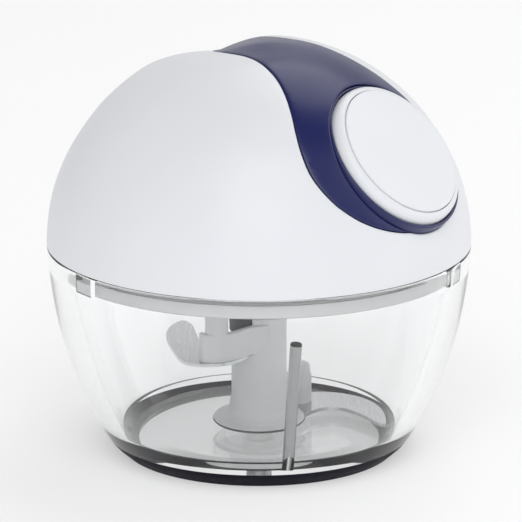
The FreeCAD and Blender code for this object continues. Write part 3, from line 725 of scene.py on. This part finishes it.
for k, deg in enumerate(LUG_ANGLES):
    t = math.radians(deg)
    ca, sa = math.cos(t), math.sin(t)
    corners = []
    for z in (56.6, 68.0):
        for x, y in ((50.0, -3.75), (59.05, -3.75), (59.05, 3.75), (50.0, 3.75)):
            corners.append((x * ca - y * sa, x * sa + y * ca, z))
    cutter = mesh_obj("slot_cutter_%d" % k, corners,
                      [(0, 3, 2, 1), (4, 5, 6, 7), (0, 1, 5, 4), (1, 2, 6, 5), (2, 3, 7, 6),
                       (3, 0, 4, 7)], None)
    mod = bowl.modifiers.new("slot", "BOOLEAN")
    mod.operation = "DIFFERENCE"
    mod.solver = "EXACT"
    mod.object = cutter
    bpy.context.view_layer.update()
    baked(bowl, 40.0)
    bpy.data.objects.remove(cutter)
dress(bowl, "clear")
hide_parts("bowl_shell")
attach(bowl, "bowl")

# its top and inner side sink 0.02 mm into the bowl, as moulded on
ring_out = smooth_curve([(41.5, 0.55), (42.6, 1.5), (44.3, 3.1), (45.68, RING_TOP_Z + 0.02)], 6)
ring_prof = [tuple(p) for p in ring_out] + fillet(
    [(45.0, RING_TOP_Z + 0.02), (RING_IN_R - 0.02, RING_TOP_Z + 0.02, 0.3),
     (RING_IN_R - 0.02, 0.5, 0.2), (37.2, 0.0, 0.2), (38.6, 0.0, 0.1), (38.9, 0.35),
     (39.4, 0.35), (39.7, 0.0, 0.1), (40.9, 0.0, 0.4)])
ring = lathe("base_ring_vis", ring_prof, 288, None, closed=True)
dress(ring, "ring")
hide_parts("base_ring")
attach(ring, "bowl")

# ----------------------------------------------------------------- cord lead
CORD_R = 0.9
EYE_IN = HANDLE_C - 14.4 * HANDLE_N
KNOT = HANDLE_C - 4.0 * HANDLE_N
LEAVE_A = math.atan2(EYE_IN[1], EYE_IN[0]) - math.acos(15.4 / math.hypot(EYE_IN[0], EYE_IN[1]))
LEAVE = np.array([15.4 * math.cos(LEAVE_A), 15.4 * math.sin(LEAVE_A), 84.4])


def tube(name, path, rad, seg=16):
    """Round tube with closed ends along a path of points."""
    path = np.array(path, float)
    tang = np.gradient(path, axis=0)
    tang /= np.linalg.norm(tang, axis=1)[:, None]
    side_v = np.cross(tang[0], [0, 0, 1.0])
    verts, faces = [], []
    for i, (p, t) in enumerate(zip(path, tang)):
        side_v = side_v - (side_v @ t) * t
        side_v /= np.linalg.norm(side_v)
        up_v = np.cross(t, side_v)
        for k in range(seg):
            a_ = 2 * math.pi * k / seg
            verts.append(tuple(p + rad * (side_v * math.cos(a_) + up_v * math.sin(a_))))
        if i:
            for k in range(seg):
                j = (k + 1) % seg
                faces.append(((i - 1) * seg + k, (i - 1) * seg + j, i * seg + j, i * seg + k))
    faces.append(tuple(range(seg))[::-1])
    faces.append(tuple(range(len(verts) - seg, len(verts))))
    return mesh_obj(name, verts, faces)


lead_path = [LEAVE + (EYE_IN - LEAVE) * t for t in np.linspace(0, 0.94, 12)]
bend_a, bend_b = lead_path[-1], EYE_IN + 2.2 * HANDLE_N
for t in np.linspace(0.12, 0.88, 6):
    lead_path.append(bend_a * (1 - t) ** 2 + EYE_IN * 2 * t * (1 - t) + bend_b * t * t)
lead_path += [bend_b + (KNOT - bend_b) * t for t in np.linspace(0, 1, 60)]
lead = tube("cord_lead_vis", lead_path, CORD_R)
dress(lead, "cord")
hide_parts("cord_lead")
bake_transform(lead)

# --------------------------------------------------------- carried CAD nodes
USE = {
    "baffle_rod": "rod", "rod_tip": "tip", "pivot_pin": "bright_pin", "blade_column": "column_foot",
    "column_bush": "bronze", "drive_socket": "socket", "lower_blade": "blade",
    "upper_blade": "blade", "lower_carrier": "column", "upper_carrier": "column",
    "lid_plate": "frost", "lid_seal": "silicone", "cord_eyelet": "rod", "lower_bush": "bronze",
    "upper_bush": "bronze", "spring_housing": "acetal", "spring_cover": "plate_steel",
    "bridge": "plate_steel", "bridge_screws": "rod", "recoil_spring": "spring",
    "drive_shaft": "rod", "spring_arbor": "bronze", "cord_reel": "acetal",
    "cord_wraps": "cord", "retaining_clip": "spring", "cord_ferrule": "rod",
}
for node, key in USE.items():
    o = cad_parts[node]
    if not o.material_slots:
        o.data.materials.append(None)
    for s in o.material_slots:
        s.material = MAT[key]

# ----------------------------------------------------------- floor and light
floor_me = bpy.data.meshes.new("floor")
floor_me.from_pydata([(-6, -6, 0), (6, -6, 0), (6, 9, 0), (-6, 9, 0)], [], [(0, 1, 2, 3)])
floor = link(bpy.data.objects.new("floor", floor_me))
fmat, fnt, fb = material("pale_floor", (0.35, 0.35, 0.35), 0.6, Specular_IOR_Level=0.0)
fv = coords(fnt)
fnt.links.new(ramp(fnt, noise(fnt, fv, 3.0, 2.0), [(0.3, (0.595, 0.595, 0.595)),
                                                  (0.7, (0.605, 0.605, 0.605))]),
              fb.inputs["Base Color"])
fb.inputs["Emission Color"].default_value = (1, 1, 1, 1)
fb.inputs["Emission Strength"].default_value = 0.42
floor.data.materials.append(fmat)

world = bpy.data.worlds.new("studio")
bpy.context.scene.world = world
world.use_nodes = True
wn = world.node_tree
bg = wn.nodes["Background"]
tc = wn.nodes.new("ShaderNodeTexCoord")
sep = wn.nodes.new("ShaderNodeSeparateXYZ")
wn.links.new(tc.outputs["Generated"], sep.inputs["Vector"])
side = wn.nodes.new("ShaderNodeValToRGB")
el = side.color_ramp.elements
el[0].position, el[0].color = 0.0, (0.99, 0.99, 1.0, 1)
el[1].position, el[1].color = 1.0, (0.83, 0.83, 0.83, 1)
e = el.new(0.5)
e.color = (0.0, 0.0, 0.0, 1)
half = wn.nodes.new("ShaderNodeMapRange")
half.inputs["From Min"].default_value = -1.0
half.inputs["From Max"].default_value = 1.0
wn.links.new(sep.outputs["Y"], half.inputs["Value"])
wn.links.new(half.outputs["Result"], side.inputs["Fac"])
wn.links.new(side.outputs["Color"], bg.inputs["Color"])
bg.inputs["Strength"].default_value = 1.05


def area_light(name, loc, target, size, power, color=(1, 1, 1)):
    ld = bpy.data.lights.new(name, "AREA")
    ld.shape = "RECTANGLE"
    ld.size, ld.size_y = size
    ld.energy = power
    ld.color = color
    lo = link(bpy.data.objects.new(name, ld))
    lo.location = loc
    d = Vector(target) - Vector(loc)
    lo.rotation_euler = d.to_track_quat("-Z", "Y").to_euler()
    return lo


def soft_box(name, azimuth, elevation, power, size=0.8, far=1.3):
    a_, e_ = math.radians(azimuth), math.radians(elevation)
    aim = Vector((0, 0, 0.06))
    return area_light(name, aim + far * Vector((math.cos(a_) * math.cos(e_),
                                                math.sin(a_) * math.cos(e_), math.sin(e_))),
                      aim, (size, size), power)


soft_box("key", -90, 45, 4.6)
soft_box("left", 180, 30, 5.0, size=1.8, far=1.5)
soft_box("low_front", -93, 12, 1.4)
soft_box("right", 8, 26, 9.5, size=1.5, far=1.5)
soft_box("back_top", 66, 56, 3.2)

# -------------------------------------------------------------------- camera
EL = math.radians(16.1)
DIST = 1.9
target = Vector((0.6, 0.0, 57.26)) * MM
cam_data = bpy.data.cameras.new("camera")
cam_data.sensor_width = 36.0
cam_data.lens = 3.35 / MM * DIST * 36.0 / 522.0
cam_data.clip_end = 50
cam = link(bpy.data.objects.new("camera", cam_data))
cam.location = target + Vector((0, -math.cos(EL), math.sin(EL))) * DIST
cam.rotation_euler = (target - cam.location).to_track_quat("-Z", "Y").to_euler()
bpy.context.scene.camera = cam
bpy.context.scene.view_settings.view_transform = "Standard"
bpy.context.scene.view_settings.look = "None"
